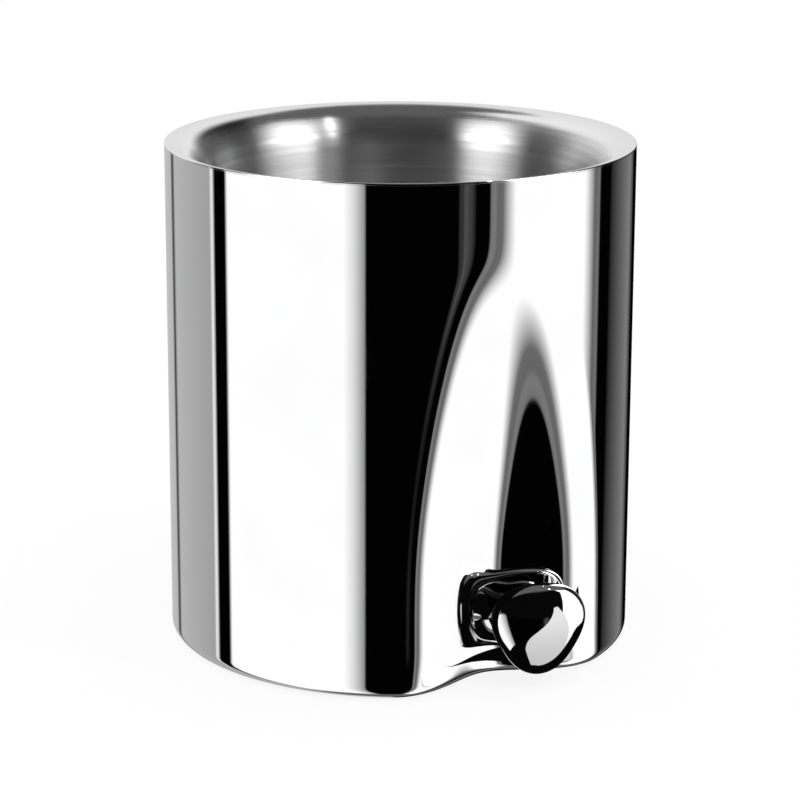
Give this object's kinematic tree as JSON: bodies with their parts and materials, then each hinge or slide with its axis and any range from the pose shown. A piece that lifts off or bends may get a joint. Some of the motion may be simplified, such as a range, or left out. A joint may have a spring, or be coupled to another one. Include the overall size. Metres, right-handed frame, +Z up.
{
  "type": "champagne bucket",
  "caption": "Double walled champagne bucket in mirror polished steel, with flutes pressed into its wall at the base and a domed three cornered knob on the flank of each as a carrying grip.",
  "frame": {"origin": "centre of the base, on the table plane", "axes": "+Z up along the bucket's axis; -Y is the way the front knob points; +X to the right seen from the front"},
  "size_m": [0.21, 0.21, 0.227],
  "materials": {
    "polished_steel": "mirror polished stainless steel",
    "satin_steel": "satin inside, brushed round the axis, with a polished lip",
    "base_steel": "plain rolled sheet",
    "fixing_steel": "plain machined",
    "black_rubber": "matt"
  },
  "bodies": {
    "root": {"outer_shell": "polished_steel", "inner_liner": "satin_steel", "base_plate": "base_steel", "foot_ring": "black_rubber", "front_knob": "polished_steel", "front_seal": "black_rubber", "front_stud": "fixing_steel", "front_backing": "fixing_steel", "front_lock_washer": "fixing_steel", "front_nut": "fixing_steel", "rear_knob": "polished_steel", "rear_seal": "black_rubber", "rear_stud": "fixing_steel", "rear_backing": "fixing_steel", "rear_lock_washer": "fixing_steel", "rear_nut": "fixing_steel"}
  },
  "joints": []
}
